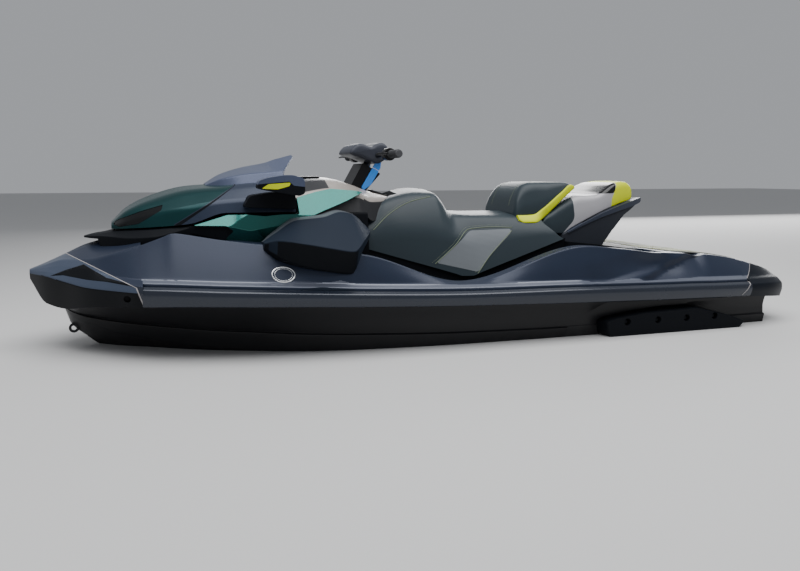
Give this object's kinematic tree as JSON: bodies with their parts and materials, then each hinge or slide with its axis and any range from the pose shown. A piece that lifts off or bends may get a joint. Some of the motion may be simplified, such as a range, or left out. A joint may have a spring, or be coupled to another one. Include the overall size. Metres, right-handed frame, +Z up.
{
  "type": "personal watercraft",
  "caption": "Personal watercraft with V hull, footwells, straddle seat, handlebar, mirrors, opening hood, and a jet pump with steering nozzle and reverse bucket.",
  "frame": {"origin": "on the centreline at the waterline, amidships", "axes": "+X to the bow, +Y to port, +Z up"},
  "size_m": [3.45, 1.255, 1.1316],
  "materials": {
    "hull_shell": "gloss black",
    "deck_shell": "satin blue-grey metallic",
    "bow_cap": "satin",
    "side_rail": "satin",
    "stern_cap": "satin",
    "black_plastic": "fine grain",
    "green_gloss": "gloss metallic green",
    "cowl_grey": "satin metallic",
    "console_plastic": "satin",
    "seat_vinyl": "vinyl, fine grain",
    "tail_grey": "satin",
    "yellow_vinyl": "vinyl",
    "mat_foam": "ribbed foam",
    "grip_rubber": "matte",
    "pad_grey": "satin",
    "control_plastic": "satin",
    "bar_tube": "satin",
    "blue_strip": "satin",
    "gauge_glass": "gloss",
    "mirror": "polished",
    "ring_chrome": "polished",
    "bin_plastic": "matte",
    "engine_metal": "matte",
    "jet_metal": "satin",
    "steel": "brushed"
  },
  "bodies": {
    "boat": {"air_inlets": "black_plastic", "bolster": "seat_vinyl", "bolster_trim": "yellow_vinyl", "bow_bumper": "bow_cap", "bow_eye": "steel", "console": "console_plastic", "deck": "deck_shell", "engine_block": "engine_metal", "footwell_mats": "mat_foam", "front_seat": "seat_vinyl", "gauge": "gauge_glass", "hull": "hull_shell", "intake_grate": "jet_metal", "knee_pod_port": "black_plastic", "knee_pod_starboard": "black_plastic", "neck_strip": "blue_strip", "oval_rings": "ring_chrome", "pump_housing": "jet_metal", "rear_mat": "mat_foam", "ride_plate": "jet_metal", "seat_base": "black_plastic", "side_blade_port": "green_gloss", "side_blade_starboard": "green_gloss", "side_rail_port": "side_rail", "side_rail_starboard": "side_rail", "splitter": "black_plastic", "sponson_port": "black_plastic", "sponson_starboard": "black_plastic", "steering_neck": "control_plastic", "stern_bumper": "stern_cap", "stern_eyes": "steel", "storage_bin": "bin_plastic", "tail_base": "black_plastic"},
    "hood": {"hood": "cowl_grey", "nose_fairing": "green_gloss", "lamp_recesses": "gauge_glass", "cowl": "cowl_grey", "mirror_stalks": "black_plastic", "mirror_housing_port": "cowl_grey", "mirror_housing_starboard": "cowl_grey", "mirror_glasses": "mirror"},
    "glovebox_lid": {"glovebox_lid": "console_plastic"},
    "steering": {"steering_column": "bar_tube", "handlebar": "bar_tube", "handlebar_pad": "pad_grey", "grips": "grip_rubber", "controls": "control_plastic"},
    "rear_seat": {"rear_seat": "seat_vinyl", "tail_hump": "tail_grey", "tail_pad": "yellow_vinyl"},
    "trim_ring": {"trim_ring": "jet_metal"},
    "nozzle": {"steering_nozzle": "jet_metal"},
    "bucket": {"reverse_bucket": "jet_metal"},
    "impeller": {"impeller": "steel"}
  },
  "joints": [
    {"name": "hood_hinge", "type": "hinge", "parent": "boat", "child": "hood", "pos_m": [1.405, 0, 0.485], "axis": [0, 1, 0], "range_deg": [0, 50]},
    {"name": "glovebox_hinge", "type": "hinge", "parent": "boat", "child": "glovebox_lid", "pos_m": [0.3, 0, 0.6342], "axis": [0, 1, 0], "range_deg": [0, 50]},
    {"name": "handlebar_turn", "type": "hinge", "parent": "boat", "child": "steering", "pos_m": [0.3, 0, 0.742], "axis": [-0.5, 0, 0.866], "range_deg": [-25, 25]},
    {"name": "rear_seat_slide", "type": "slide", "parent": "boat", "child": "rear_seat", "axis": [-0.8486, 0, 0.5291], "range_m": [0, 0.25]},
    {"name": "trim_tilt", "type": "hinge", "parent": "boat", "child": "trim_ring", "pos_m": [-1.56, 0, -0.125], "axis": [0, 1, 0], "range_deg": [-7, 7]},
    {"name": "nozzle_turn", "type": "hinge", "parent": "trim_ring", "child": "nozzle", "pos_m": [-1.56, 0, -0.125], "axis": [0, 0, 1], "range_deg": [-20, 20]},
    {"name": "bucket_drop", "type": "hinge", "parent": "boat", "child": "bucket", "pos_m": [-1.56, 0, -0.125], "axis": [0, -1, 0], "range_deg": [0, 60]},
    {"name": "impeller_spin", "type": "hinge", "parent": "boat", "child": "impeller", "pos_m": [-1.16, 0, -0.125], "axis": [1, 0, 0], "continuous": true}
  ],
  "couplings": [
    {"joint": "nozzle_turn", "follows": "handlebar_turn", "ratio": -0.8}
  ]
}
